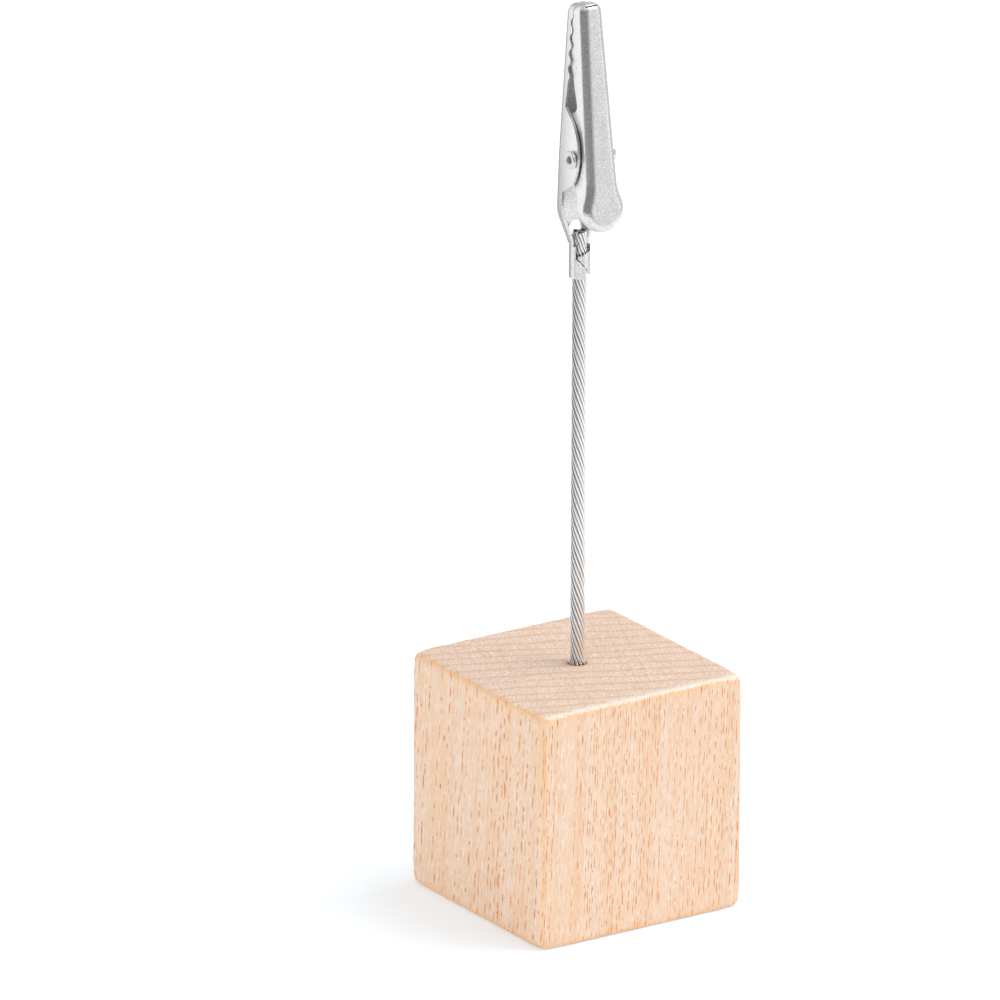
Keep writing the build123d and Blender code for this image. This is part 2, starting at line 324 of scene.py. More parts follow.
def three_numbers(tree, colour):
    """The red, green and blue of a random colour, as three random numbers from 0 to 1."""
    node = tree.nodes.new("ShaderNodeSeparateColor")
    tree.links.new(colour, node.inputs["Color"])
    return [node.outputs[name] for name in ("Red", "Green", "Blue")]


def lots(tree, place):
    """Three random numbers that belong to a place of whole numbers, the same each time."""
    node = tree.nodes.new("ShaderNodeTexWhiteNoise")
    feed(tree, node.inputs["Vector"], place)
    return three_numbers(tree, node.outputs["Color"])


def beads(tree, along):
    """Beads on a string, unevenly one to each whole number: how far the nearest is, and its random numbers."""
    node = tree.nodes.new("ShaderNodeTexVoronoi")
    node.voronoi_dimensions = "1D"
    node.inputs["Scale"].default_value = 1.0
    feed(tree, node.inputs["W"], along)
    return node.outputs["Distance"], three_numbers(tree, node.outputs["Color"])


def seeds(tree, place, size):
    """One seed in each cell of that size: how far the nearest is, in cells, and its random numbers."""
    node = tree.nodes.new("ShaderNodeTexVoronoi")
    node.inputs["Scale"].default_value = 1.0
    feed(tree, node.inputs["Vector"], reckon_vector(tree, "DIVIDE", place, size))
    return node.outputs["Distance"], three_numbers(tree, node.outputs["Color"])


print("chance comes from", [helper.__name__ for helper in (cloud, lots, beads, seeds)])

# %% [markdown]
# A material starts as a plain shader, and its bumps go on last. The Bump node turns a height into small slopes. The
# Bevel node turns the directions beside a sharp edge as if the edge was rounded. That is enough for the eased edge
# of thin sheet, which is a tenth of a millimetre round, and it costs no faces.

# %% Helpers: materials
no_lean = (0, 0, 0)


def new_finish(name):
    """A material with its node tree and its shader."""
    material = bpy.data.materials.new(name)
    material.use_nodes = True
    return material, material.node_tree, material.node_tree.nodes["Principled BSDF"]


def roughen(tree, shader, height, depth, eased=0.0, lean=no_lean):
    """Turns a height from 0 to 1 into small bumps, depth metres high. Sharp edges may be eased by a radius, and the
    surface then may lean as well."""
    node = tree.nodes.new("ShaderNodeBump")
    node.inputs["Strength"].default_value = 1.0
    node.inputs["Distance"].default_value = depth
    feed(tree, node.inputs["Height"], height)
    if eased:
        edges = tree.nodes.new("ShaderNodeBevel")
        edges.samples = 6
        edges.inputs["Radius"].default_value = eased
        facing = reckon_vector(tree, "ADD", edges.outputs["Normal"], lean)
        tree.links.new(reckon_vector(tree, "NORMALIZE", facing), node.inputs["Normal"])
    tree.links.new(node.outputs["Normal"], shader.inputs["Normal"])


print("materials are made by", new_finish.__name__, "and get their bumps from", roughen.__name__)

# %% [markdown]
# The beech is unvarnished and sanded. Its grain runs up, so the top shows year rings and the sides show the short
# dark flecks that beech is known by, which are its rays cut through. Images on the faces would not meet at the
# edges. A solid texture is like real wood instead: the rings and rays are worked out in space, and each face shows
# the cut through them. The years lie across the block, turned by about twenty degrees, so one side is cut nearly
# along the rings, with many fine flecks, and the other nearly along the rays, with fewer and larger ones.

# %% Beech: rings and fibres
beech, wood, beech_shader = new_finish("sanded_beech")
year_turn = math.radians(23.8)
grain_lean = math.radians(-2.3)
year_width = 3.1 * mm
fibre_size = Vector((0.24, 0.6, 3.5)) * mm
pale_size = Vector((0.22, 0.35, 1.7)) * mm
speckle_size = Vector((0.2, 0.2, 0.3)) * mm
pore_size = Vector((0.36, 0.36, 0.7)) * mm
streak_size = Vector((1.3, 3.0, 40.0)) * mm
wander_size = Vector((18, 5, 60)) * mm

wood_place = wood.nodes.new("ShaderNodeTexCoord")
log = wood.nodes.new("ShaderNodeMapping")
log.inputs["Rotation"].default_value = (0, grain_lean, year_turn)
wood.links.new(wood_place.outputs["Object"], log.inputs["Vector"])
in_log = log.outputs["Vector"]
log_axes = wood.nodes.new("ShaderNodeSeparateXYZ")
wood.links.new(in_log, log_axes.inputs["Vector"])

fibres = cloud(wood, in_log, fibre_size, detail=3.0)
speckle = cloud(wood, in_log, speckle_size, detail=3.0)
pores = cloud(wood, in_log, pore_size, detail=4.0)
pale_fibres = cloud(wood, in_log, pale_size, detail=3.0)
streaks = cloud(wood, in_log, streak_size, detail=3.0)
wander = cloud(wood, in_log, wander_size, detail=3.0)
years = reckon(wood, "MULTIPLY_ADD", wander, 1.1, reckon(wood, "DIVIDE", log_axes.outputs["Y"], year_width))
age = reckon(wood, "MULTIPLY_ADD", speckle, 0.2, reckon(wood, "FRACT", years))
late_wood = reckon(wood, "MULTIPLY", soft_step(wood, age, 0.7, 0.98), soft_step(wood, age, 1.1, 1.0))
print("years are", year_width / mm, "mm wide and turned by", round(math.degrees(year_turn), 1), "degrees")

# %% [markdown]
# Rays stand in rows along the grain, and the rows bend a little with it. Scattered spots would look like sprinkled
# pepper, so space is cut into thin rows instead. Each row has a strength of its own, and lenses of uneven length are
# strung along it like beads. There are many fine rays, and a few great ones that reach far into the log.

# %% Beech: rays
fine_ray_cell = Vector((0.48, 9.0, 2.8)) * mm
great_ray_cell = Vector((0.95, 40.0, 4.4)) * mm
bend_size = Vector((3, 8, 12)) * mm
bend_reach = 0.5 * mm
row_stagger = 900.0
strongest_row = 0.8
bend = cloud(wood, in_log, bend_size, detail=1.0)
across = reckon(wood, "MULTIPLY_ADD", bend, bend_reach, log_axes.outputs["X"])


def rays(cell, half_width, shortest, longest, faintest_row):
    """Thin lenses strung in rows along the grain, about one in each cell. Widths and half lengths are in cells, and
    a lens whose length comes out below nothing is left out."""
    row_place = reckon(wood, "DIVIDE", across, cell.x)
    row = reckon(wood, "FLOOR", row_place)
    depth = reckon(wood, "FLOOR", reckon(wood, "DIVIDE", log_axes.outputs["Y"], cell.y))
    row_shift, row_strength = lots(wood, gather(wood, row, depth, 0.0))[:2]
    height = reckon(wood, "DIVIDE", log_axes.outputs["Z"], cell.z)
    up, own = beads(wood, reckon(wood, "MULTIPLY_ADD", row_shift, row_stagger, height))
    own_length, own_strength, own_shift = own
    half_length = reckon(wood, "MAXIMUM", spread(wood, own_length, shortest, longest), 0.001)
    up = reckon(wood, "DIVIDE", up, half_length)
    aside = reckon(wood, "SUBTRACT", reckon(wood, "FRACT", row_place), spread(wood, own_shift, 0.38, 0.62))
    aside = reckon(wood, "DIVIDE", reckon(wood, "ABSOLUTE", aside), half_width)
    lens_shape = soft_step(wood, reckon(wood, "MULTIPLY_ADD", up, up, aside), 1.0, 0.45)
    strength = reckon(wood, "MULTIPLY", soft_step(wood, row_strength, faintest_row, strongest_row),
                      spread(wood, own_strength, 0.6, 1.0))
    return reckon(wood, "MULTIPLY", lens_shape, strength)


longest_great_ray = 0.45
fine_rays = rays(fine_ray_cell, half_width=0.24, shortest=0.1, longest=0.62, faintest_row=0.08)
great_rays = rays(great_ray_cell, half_width=0.12, shortest=-0.5, longest=longest_great_ray, faintest_row=0.1)
print("a great ray is at most", round(2 * longest_great_ray * great_ray_cell.z / mm, 2), "mm high")

# %% [markdown]
# Sanding and handling change the wood along its edges. The rounded edges are a deeper orange in patches, and the
# end grain ends in a ragged line where the sander tore the fibres. The top edge that faces the light is painted pale,
# a painted highlight. A rounded edge can be told by the direction that it faces, because only there the surface turns
# away from the block's axes. The deeper colour also runs on a little over the flat sides, which follows from the
# distance to the edge. The top is also painted paler along its front, a painted highlight, and round the rope the glue
# has stained the end grain.

# %% Beech: edges, painted highlights and stain
torn_size = Vector((0.5, 0.5, 4.0)) * mm
patch_size = Vector((1.6, 1.6, 2.4)) * mm
end_reach = (0.5 * mm, 3.2 * mm)
corner_reach = (0.2 * mm, 1.6 * mm)
painted_top_highlight_reach = 4.5 * mm
stain_reach = (1.7 * mm, 3.4 * mm)
light_side = Vector((0.1, -0.75, 0.65))
face_way = wood.nodes.new("ShaderNodeSeparateXYZ")
wood.links.new(wood_place.outputs["Normal"], face_way.inputs["Vector"])
lean_x, lean_y, lean_z = (reckon(wood, "ABSOLUTE", face_way.outputs[axis]) for axis in "XYZ")
straight = reckon(wood, "MAXIMUM", reckon(wood, "MAXIMUM", lean_x, lean_y), lean_z)
torn = cloud(wood, in_log, torn_size, detail=3.0)
uneven = reckon(wood, "SUBTRACT", torn, 0.5)
half_block = (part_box("wood_block")[1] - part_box("wood_block")[0]) / 2
from_middle = reckon_vector(wood, "SUBTRACT", wood_place.outputs["Object"], Vector((0, 0, half_block.z)))
inwards = wood.nodes.new("ShaderNodeSeparateXYZ")
wood.links.new(reckon_vector(wood, "SUBTRACT", half_block, reckon_vector(wood, "ABSOLUTE", from_middle)),
               inwards.inputs["Vector"])
in_x, in_y, in_z = (inwards.outputs[axis] for axis in "XYZ")
near_end = soft_step(wood, in_z, spread(wood, torn, *end_reach), 0.2 * mm)
near_corner = soft_step(wood, reckon(wood, "MAXIMUM", in_x, in_y), spread(wood, torn, *corner_reach), 0.1 * mm)
near_edge = reckon(wood, "MAXIMUM", near_end, near_corner)

worn = reckon(wood, "MULTIPLY_ADD", uneven, 0.55, straight)
patches = soft_step(wood, cloud(wood, in_log, patch_size), 0.36, 0.6)
on_edge = reckon(wood, "MULTIPLY", soft_step(wood, worn, 0.93, 0.8), spread(wood, patches, 0.15, 1.0))
end_grain = soft_step(wood, reckon(wood, "MULTIPLY_ADD", uneven, 0.8, lean_z), 0.5, 0.66)
# A painted highlight: end grain that faces the light is painted pale.
to_light = reckon_vector(wood, "DOT_PRODUCT", wood_place.outputs["Normal"], light_side, result="Value")
painted_rim_highlight = reckon(wood, "MULTIPLY", soft_step(wood, to_light, 0.72, 0.98), end_grain)
place_axes = wood.nodes.new("ShaderNodeSeparateXYZ")
wood.links.new(wood_place.outputs["Object"], place_axes.inputs["Vector"])
# A painted highlight: the top is painted paler towards its front edge.
painted_top_highlight_end = spread(wood, torn, -half_block.y, -half_block.y + painted_top_highlight_reach)
painted_top_highlight = reckon(wood, "MULTIPLY", soft_step(wood, place_axes.outputs["Y"], painted_top_highlight_end, -half_block.y), end_grain)

flat_place = reckon_vector(wood, "MULTIPLY", wood_place.outputs["Object"], Vector((1, 1, 0)))
from_rope = reckon_vector(wood, "LENGTH", flat_place, result="Value")
stain = soft_step(wood, from_rope, spread(wood, torn, *stain_reach), 1.4 * mm)
print("deeper colour: up to", end_reach[1] / mm, "mm from the ends,", corner_reach[1] / mm, "mm from the corners")

# %% [markdown]
# The colours go on in layers, from the wide streaks to the small marks, and the end grain has a recipe of its own,
# greyer than the sides. Two of the layers are painted highlights: the front of the top, and the top edge that faces
# the light. The rays lie a little below the sanded surface, and the fibres stand up, which the bumps show.

# %% Beech: colour, gloss and relief
def layer(colour, share, strength, over):
    """Lays one colour over another where share is 1, at that strength."""
    return tint(wood, reckon(wood, "MULTIPLY", share, strength), colour, over)


side = tint(wood, soft_step(wood, streaks, 0.3, 0.7), (0.805, 0.615, 0.485, 1), (0.80, 0.55, 0.37, 1))
side = layer(side, soft_step(wood, fibres, 0.42, 0.7), 0.5, (0.79, 0.47, 0.25, 1))
side = layer(side, soft_step(wood, pale_fibres, 0.5, 0.3), 0.75, (0.86, 0.75, 0.67, 1))
side = layer(side, soft_step(wood, speckle, 0.45, 0.72), 0.5, (0.74, 0.46, 0.27, 1))
side = layer(side, late_wood, 0.15, (0.74, 0.44, 0.25, 1))
side = layer(side, near_edge, 0.55, (0.83, 0.47, 0.21, 1))
slanting_cut = spread(wood, lean_x, 0.95, 0.85)
side = layer(side, fine_rays, slanting_cut, (0.64, 0.19, 0.015, 1))
side = layer(side, great_rays, slanting_cut, (0.60, 0.165, 0.012, 1))
end = tint(wood, soft_step(wood, streaks, 0.3, 0.7), (0.75, 0.59, 0.48, 1), (0.70, 0.53, 0.42, 1))
end = layer(end, soft_step(wood, pores, 0.48, 0.66), 0.75, (0.56, 0.36, 0.25, 1))
end = layer(end, soft_step(wood, pores, 0.47, 0.33), 0.65, (0.88, 0.77, 0.69, 1))
end = layer(end, soft_step(wood, speckle, 0.48, 0.7), 0.5, (0.58, 0.38, 0.27, 1))
end = layer(end, late_wood, 0.55, (0.58, 0.35, 0.21, 1))
end = layer(end, fine_rays, 0.4, (0.62, 0.36, 0.19, 1))
end = layer(end, great_rays, 0.6, (0.54, 0.28, 0.14, 1))
# The painted highlight along the front of the top.
end = layer(end, painted_top_highlight, 0.7, (0.80, 0.74, 0.69, 1))

wood_colour = tint(wood, end_grain, side, end)
wood_colour = layer(wood_colour, on_edge, 0.8, (0.84, 0.45, 0.17, 1))
# The painted highlight on the top edge that faces the light.
wood_colour = layer(wood_colour, painted_rim_highlight, 0.6, (0.80, 0.71, 0.63, 1))
wood_colour = layer(wood_colour, stain, 0.75, (0.58, 0.29, 0.13, 1))
feed(wood, beech_shader.inputs["Base Color"], wood_colour)
feed(wood, beech_shader.inputs["Roughness"], spread(wood, fibres, 0.5, 0.75))
relief = reckon(wood, "SUBTRACT", reckon(wood, "ADD", fibres, speckle), great_rays)
relief = reckon(wood, "SUBTRACT", relief, reckon(wood, "MULTIPLY", fine_rays, 0.6))
roughen(wood, beech_shader, relief, depth=0.02 * mm)
print("beech has", len(wood.nodes), "nodes")

# %% [markdown]
# The block is a cube with sanded edges. A cube with a bevel would have edges as even as a machine's, but these were
# rounded by hand on a sander, a little more at the corners. So the block is built as a grid on a cube, with lines
# close together near the edges, and each point is then pulled in to a rounded form whose radius wanders along the
# edge. It only ever goes inwards, so the size stays. A square of cells is left out of the top for the bore.

# %% Block: sanded cube
block_low, block_high = (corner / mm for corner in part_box("wood_block"))
edge_round = 1.0
corner_round = 0.5
corner_zone = 4.0
sanding = 0.22
least_sanding = -0.4
end_zone = 2.0
upright_edge_share = 0.4
mouth_half_width = 3
centre = (block_low + block_high) / 2
half = (block_high - block_low) / 2


def grid_lines(reach):
    """Places of the grid lines from -reach to reach, about 1 mm apart and closer on the rounded edges."""
    flat = reach - edge_round
    cells = round(flat) * 2
    inner = [flat * (2 * number / cells - 1) for number in range(1, cells)]
    outer = [flat + edge_round * math.tan(math.radians(11.25 * number)) for number in range(5)]
    return [-place for place in reversed(outer)] + inner + outer


def sanded(point):
    """A point of the sharp cube, pulled in to the rounded form."""
    to_sides = sorted((half[axis] - abs(point[axis]) for axis in range(3)))
    by_corner = max(0.0, 1 - to_sides[2] / corner_zone)
    along = noise.noise(point * 0.35) + 0.5 * noise.noise(point * 1.1)
    share = 1.0 if half.z - abs(point.z) < end_zone else upright_edge_share
    radius = edge_round + corner_round * by_corner + sanding * share * max(along, least_sanding)
    core = Vector([max(-half[a] + radius, min(half[a] - radius, point[a])) for a in range(3)])
    return core + (point - core).normalized() * radius


def cube_side(shape, axis, sign):
    """The grid on one side of the cube."""
    first, second = [a for a in range(3) if a != axis]
    rows = []
    for u in grid_lines(half[first]):
        row = []
        for v in grid_lines(half[second]):
            point = Vector((0, 0, 0))
            point[axis], point[first], point[second] = sign * half[axis], u, v
            row.append(shape.verts.new(point))
        rows.append(row)
    for row, following in zip(rows, rows[1:]):
        for a, b, c, d in zip(row, row[1:], following[1:], following):
            off_centre = max(abs((a.co[k] + c.co[k]) / 2) for k in (0, 1))
            in_mouth = axis == 2 and sign > 0 and off_centre < mouth_half_width
            if not in_mouth:
                shape.faces.new((a, b, c, d))


cube = bmesh.new()
for axis in range(3):
    for sign in (-1, 1):
        cube_side(cube, axis, sign)
bmesh.ops.remove_doubles(cube, verts=cube.verts, dist=1e-4)
for vertex in cube.verts:
    vertex.co = sanded(vertex.co)
print("sanded cube:", len(cube.faces), "faces")

# %% [markdown]
# The rope stands in a hole that was drilled from above. A boolean would cut it, but it leaves long thin faces round
# the hole, which shade badly. Rings of faces are cleaner: they lead from the open square in the top to the mouth of
# the bore, down its wall and to its floor. The two helpers that finish the block serve for later pieces as well: one
# joins doubles, turns faces outwards and marks sharp edges, and the other gives a piece its material and the body
# that it rides on.

# %% Block: bore and finish
bore_radius = 1.6
bore_depth = 20.0


def bore(shape):
    """Rings from the open square in the top to the bore's mouth, down its wall and to its floor."""
    rim = [edge for edge in shape.edges if edge.is_boundary]
    loop = sorted({vertex for edge in rim for vertex in edge.verts}, key=lambda v: math.atan2(v.co.y, v.co.x))
    top = half.z
    rings = [(bore_radius + 0.35, top), (bore_radius + 0.05, top), (bore_radius, top - 0.06),
             (bore_radius, top - 1.0), (bore_radius, top - bore_depth)]
    sides = len(loop)
    turn = math.atan2(loop[0].co.y, loop[0].co.x)
    turn = round(turn / (2 * math.pi / sides)) * (2 * math.pi / sides)
    for radius, height in rings:
        ring = []
        for number in range(sides):
            angle = turn + 2 * math.pi * number / sides
            ring.append(shape.verts.new((radius * math.cos(angle), radius * math.sin(angle), height)))
        for number in range(sides):
            following = (number + 1) % sides
            shape.faces.new((loop[number], loop[following], ring[following], ring[number]))
        loop = ring
    shape.faces.new(loop)


def finish_shape(shape, name, sharp=40):
    """A mesh object from a bmesh in millimetres, with faces outwards, smooth but for its sharp edges."""
    bmesh.ops.remove_doubles(shape, verts=shape.verts, dist=1e-4)
    bmesh.ops.recalc_face_normals(shape, faces=shape.faces)
    bmesh.ops.scale(shape, vec=(mm, mm, mm), verts=shape.verts)
    open_edges = sum(not edge.is_manifold for edge in shape.edges)
    mesh = bpy.data.meshes.new(name)
    shape.to_mesh(mesh)
    shape.free()
    mesh.shade_smooth()
    mesh.set_sharp_from_angle(angle=math.radians(sharp))
    piece = bpy.data.objects.new(name, mesh)
    scene.collection.objects.link(piece)
    print(name, "faces:", len(mesh.polygons), "open edges:", open_edges)
    return piece


def dress(piece, body, slot, material, *stands_for):
    """Gives a piece its finish and the body it rides on, and hides the solids that it stands for."""
    piece.data.materials.append(material)
    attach(piece, body)
    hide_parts(*stands_for)


bore(cube)
bmesh.ops.translate(cube, vec=centre, verts=cube.verts)
block = finish_shape(cube, "beech_block")
dress(block, "stand", "beech", beech, "wood_block")

# %% [markdown]
# Steel and plated sheet look alike from afar, but each has its own small marks. Three marks come back on all the
# metals here: a fine pebble from pickling and plating, smudges that change the gloss in patches, and tiny pits.
# They are worth a node group, which is built once and placed in each metal with its own sizes. It only hands out
# masks, and the shader stays in the material.

# %% Group: marks of plated metal
marks = bpy.data.node_groups.new("metal_marks", "ShaderNodeTree")
for name in ("Place", "Pebble size", "Smudge size", "Pit spacing"):
    marks.interface.new_socket(name=name, in_out="INPUT", socket_type="NodeSocketVector")
for name in ("Pebble", "Smudge", "Pits"):
    marks.interface.new_socket(name=name, in_out="OUTPUT", socket_type="NodeSocketFloat")
marks_in = marks.nodes.new("NodeGroupInput").outputs
marks_out = marks.nodes.new("NodeGroupOutput").inputs
pebble = cloud(marks, marks_in["Place"], marks_in["Pebble size"], detail=3.0)
smudge = soft_step(marks, cloud(marks, marks_in["Place"], marks_in["Smudge size"], detail=4.0), 0.35, 0.68)
pit_far, pit_own = seeds(marks, marks_in["Place"], marks_in["Pit spacing"])
pits = soft_step(marks, pit_far, spread(marks, pit_own[0], 0.005, 0.08), 0.0)
for name, result in (("Pebble", pebble), ("Smudge", smudge), ("Pits", pits)):
    marks.links.new(result, marks_out[name])


def metal_marks(tree, pebble_size, smudge_size, pit_spacing):
    """Places the group in a finish, with its own sizes in millimetres, and hands back its outputs."""
    node = tree.nodes.new("ShaderNodeGroup")
    node.node_tree = marks
    place = tree.nodes.new("ShaderNodeTexCoord")
    tree.links.new(place.outputs["Object"], node.inputs["Place"])
    node.inputs["Pebble size"].default_value = Vector(pebble_size) * mm
    node.inputs["Smudge size"].default_value = Vector(smudge_size) * mm
    node.inputs["Pit spacing"].default_value = Vector(pit_spacing) * mm
    return node.outputs


print("marks of plated metal:", len(marks.nodes), "nodes")

# %% [markdown]
# All the metals here are bare or plated steel, so one recipe serves them all. It lies between a bright and a dull
# grey. The pebble mottles the grey and raises small bumps, the smudges change the gloss, and the pits are dark. A
# metal may be mottled more in some places, darkened with painted shade in others, or matt. Those places depend on
# its shape, so each metal brings functions that find them.

# %% Metal recipe
pit_grey = grey(0.12)
pit_strength = 0.8
# Painted shade: a dark grey laid where a metal is shaded, such as deep between a rope's wires.
painted_shade_grey = grey(0.1)
painted_shade_strength = 0.6
matt_roughness = 0.7
smudge_in_mottle = 0.08
pebble_in_gloss = 0.08


def metal_finish(name, sizes, bright, dull, gloss, depth, eased=0.0, lean=None, grain=None, painted_shade=None, matt=None):
    """A metal with that range of greys and of roughness, pebbles of that depth and edges eased by that radius. Its
    sizes are those of the pebbles and smudges and the spacing of the pits, in millimetres. The last four are
    functions that say how it leans, and where it is mottled, darkened by painted shade or matt."""
    material, tree, shader = new_finish(name)
    shader.inputs["Metallic"].default_value = 1.0
    found = metal_marks(tree, *sizes)
    mottle = reckon(tree, "MULTIPLY_ADD", found["Smudge"], smudge_in_mottle, found["Pebble"])
    mottle = soft_step(tree, mottle, 0.3, 0.75)
    if grain:
        mottle = reckon(tree, "MULTIPLY", mottle, grain(tree))
    colour = tint(tree, mottle, bright, dull)
    colour = tint(tree, reckon(tree, "MULTIPLY", found["Pits"], pit_strength), colour, pit_grey)
    # Painted shade, where the metal's own function says that it is shaded.
    if painted_shade:
        colour = tint(tree, reckon(tree, "MULTIPLY", painted_shade(tree), painted_shade_strength), colour, painted_shade_grey)
    feed(tree, shader.inputs["Base Color"], colour)
    rough = spread(tree, found["Smudge"], *gloss)
    rough = reckon(tree, "MULTIPLY_ADD", found["Pebble"], pebble_in_gloss, rough)
    if matt:
        rough = spread(tree, matt(tree), rough, matt_roughness)
    feed(tree, shader.inputs["Roughness"], rough)
    relief = reckon(tree, "SUBTRACT", found["Pebble"], found["Pits"])
    roughen(tree, shader, relief, depth, eased, lean(tree) if lean else no_lean)
    return material


print("grime covers a groove by", painted_shade_strength, "and the inside of a clip is", matt_roughness, "rough")

# %% [markdown]
# The clip is pressed from nickel-plated sheet. Where the press stretched the sheet, on the backs and bends, it grew
# grainy, while the flat flanks stayed smooth. The flanks aren't quite flat either: they bulge towards the fixed
# jaw's floor, so their reflections fade from white to grey. Between the flanks the polishing drum doesn't reach, and
# the plate is matt. A painted mask could show all this, but it would need an unwrapped mesh. Each mark follows from
# where a spot is and which way it faces, so the masks are reckoned from those.

# %% Nickel plate
clip_middle = sum(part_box("pivot_rivet"), Vector()) / 2
clip_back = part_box("fixed_jaw")[1].y - clip_middle.y
bulge_width = 8.0 * mm
bulge_slope = 0.3
bulge_taper = 0.07
neck_top = (-6.0 * mm, -4.0 * mm)
facing_in = (-0.5 * mm, -1.5 * mm)


def clip_spot(tree):
    """A spot on the clip, from its pivot, and the way it faces, each as three numbers."""
    place = tree.nodes.new("ShaderNodeTexCoord")
    spot = tree.nodes.new("ShaderNodeSeparateXYZ")
    facing = tree.nodes.new("ShaderNodeSeparateXYZ")
    tree.links.new(reckon_vector(tree, "SUBTRACT", place.outputs["Object"], clip_middle), spot.inputs["Vector"])
    tree.links.new(place.outputs["Normal"], facing.inputs["Vector"])
    return spot.outputs, facing.outputs


def stretched(tree):
    """1 on the backs and bends, and little on the flat flanks."""
    facing = clip_spot(tree)[1]
    return spread(tree, soft_step(tree, reckon(tree, "ABSOLUTE", facing["X"]), 0.98, 0.85), 0.2, 1.0)


def bulging(tree):
    """How far the flanks lean back: more and more towards the fixed jaw's floor, and less towards the tips."""
    spot, facing = clip_spot(tree)
    place = reckon(tree, "MULTIPLY_ADD", spot["Z"], -bulge_taper, spot["Y"])
    slope = spread(tree, place, 0.0, bulge_slope, clip_back - bulge_width, clip_back)
    on_flank = soft_step(tree, reckon(tree, "ABSOLUTE", facing["X"]), 0.85, 0.98)
    return gather(tree, 0.0, reckon(tree, "MULTIPLY", slope, on_flank), 0.0)


def inside(tree):
    """1 between the flanks, above the neck."""
    spot, facing = clip_spot(tree)
    outwards = reckon(tree, "MINIMUM", *[reckon(tree, "MULTIPLY", spot[axis], facing[axis]) for axis in "XY"])
    return reckon(tree, "MULTIPLY", soft_step(tree, outwards, *facing_in), soft_step(tree, spot["Z"], *neck_top))


nickel = metal_finish("nickel_plate", ((0.26, 0.26, 0.26), (2.5, 2.5, 4.0), (2.3, 2.3, 2.3)),
                      bright=grey(0.93), dull=grey(0.69), gloss=(0.17, 0.23), depth=0.03 * mm,
                      eased=0.09 * mm, lean=bulging, grain=stretched, matt=inside)
print("nickel plate has", len(nickel.node_tree.nodes), "nodes, and the flanks bulge over", bulge_width / mm, "mm")

# %% [markdown]
# The two jaws are pressed from sheet, and the solids already have every bend, tooth and cut. Their meshes carry the
# solids' own smooth directions, so they need no new shape, only the nickel.

# %% Jaws
for name in ("fixed_jaw", "moving_jaw"):
    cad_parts[name].data.materials.clear()
    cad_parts[name].data.materials.append(nickel)
    print(name, "faces:", len(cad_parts[name].data.polygons))

# %% [markdown]
# The stem is a strand of nineteen wires: one in the middle, six round it and twelve outside, laid to the left. The
# solid shows the outer wires as ridges. Here each wire is a round rod of its own on a helix, because the dark lines
# between round wires are what makes a rope look like one. No strand is laid evenly, so some wires lie a little
# deeper or closer to the next, and their ends are ragged. At the mouth of the bore the glued end swells a little, so
# the wires spread.

# %% Rope: lay of the wires
rope_low, rope_high = (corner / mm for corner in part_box("wire_rope"))
block_top = block_high.z
lay = 19.5
wire = 0.485
rope_radius = 1.25
inner_radius = 0.505
outer_step = 0.65
inner_step = 1.6
mouth_step = 0.15
mouth_reach = 1.5
swell_share = 0.34
swell_height = 0.15
swell_spread = 0.42
swell_foot = -0.5
deepest = 0.05
most_crowded = 1.5
ragged_outer = 0.12
ragged_inner = 0.1


def swell(height):
    """How much wider the rope is at a height, near the mouth of the bore."""
    above = height - block_top
    if above < swell_foot:
        return 1.0
    return 1 + swell_share * math.exp(-((above - swell_height) / swell_spread) ** 2)


def rope_heights(top, step):
    """Heights along the rope up to the top, a step apart, and closer where the rope swells."""
    heights = [rope_low.z]
    while heights[-1] < top - step:
        near_mouth = abs(heights[-1] - block_top) < mouth_reach
        heights.append(heights[-1] + (mouth_step if near_mouth else step))
    return heights + [top]


def laid_wire(pitch_radius, start, step, end_drop):
    """The middle line of one wire on its helix, in millimetres."""
    points = []
    for height in rope_heights(rope_high.z - end_drop, step):
        angle = start - 2 * math.pi * (height - rope_low.z) / lay
        radius = pitch_radius * swell(height)
        points.append(Vector((radius * math.cos(angle), radius * math.sin(angle), height)))
    return points


outer = []
for number in range(12):
    sunk = deepest * (number * 7 % 5) / 4
    crowded = most_crowded * (number * 5 % 7) / 6
    cut_short = ragged_outer * (number * 5 % 3)
    start = math.radians(30 * number + crowded)
    outer.append(laid_wire(rope_radius - wire / 2 - sunk, start, outer_step, cut_short))
inner = []
for number in range(6):
    start = math.radians(60 * number + 10)
    inner.append(laid_wire(inner_radius, start, inner_step, ragged_inner * (number % 3)))
inner.append([Vector((0, 0, rope_low.z)), Vector((0, 0, rope_high.z))])
print("wires:", len(outer), "outside and", len(inner), "inside, one turn in", lay, "mm")

# %% [markdown]
# Blender can give a curve a round section, and a mesh can be made from what the curve then shows. Many splines may
# share one curve, so all the wires of a layer come out at once. The outer wires get more sides than the hidden ones.

# %% Rope: round wires
def round_rods(shape, paths, diameter, resolution):
    """Adds a round rod with closed ends along each path."""
    curve = bpy.data.curves.new("rods", "CURVE")
    curve.dimensions = "3D"
    curve.bevel_depth = diameter / 2
    curve.bevel_resolution = resolution
    curve.use_fill_caps = True
    for path in paths:
        spline = curve.splines.new("POLY")
        spline.points.add(len(path) - 1)
        for point, place in zip(spline.points, path):
            point.co = (*place, 1)
    holder = bpy.data.objects.new("rods", curve)
    mesh = bpy.data.meshes.new_from_object(holder)
    shape.from_mesh(mesh)
    bpy.data.objects.remove(holder)
    bpy.data.curves.remove(curve)
    bpy.data.meshes.remove(mesh)


strand = bmesh.new()
round_rods(strand, outer, wire, resolution=3)
round_rods(strand, inner, wire, resolution=1)
rope = finish_shape(strand, "stem_rope", sharp=50)

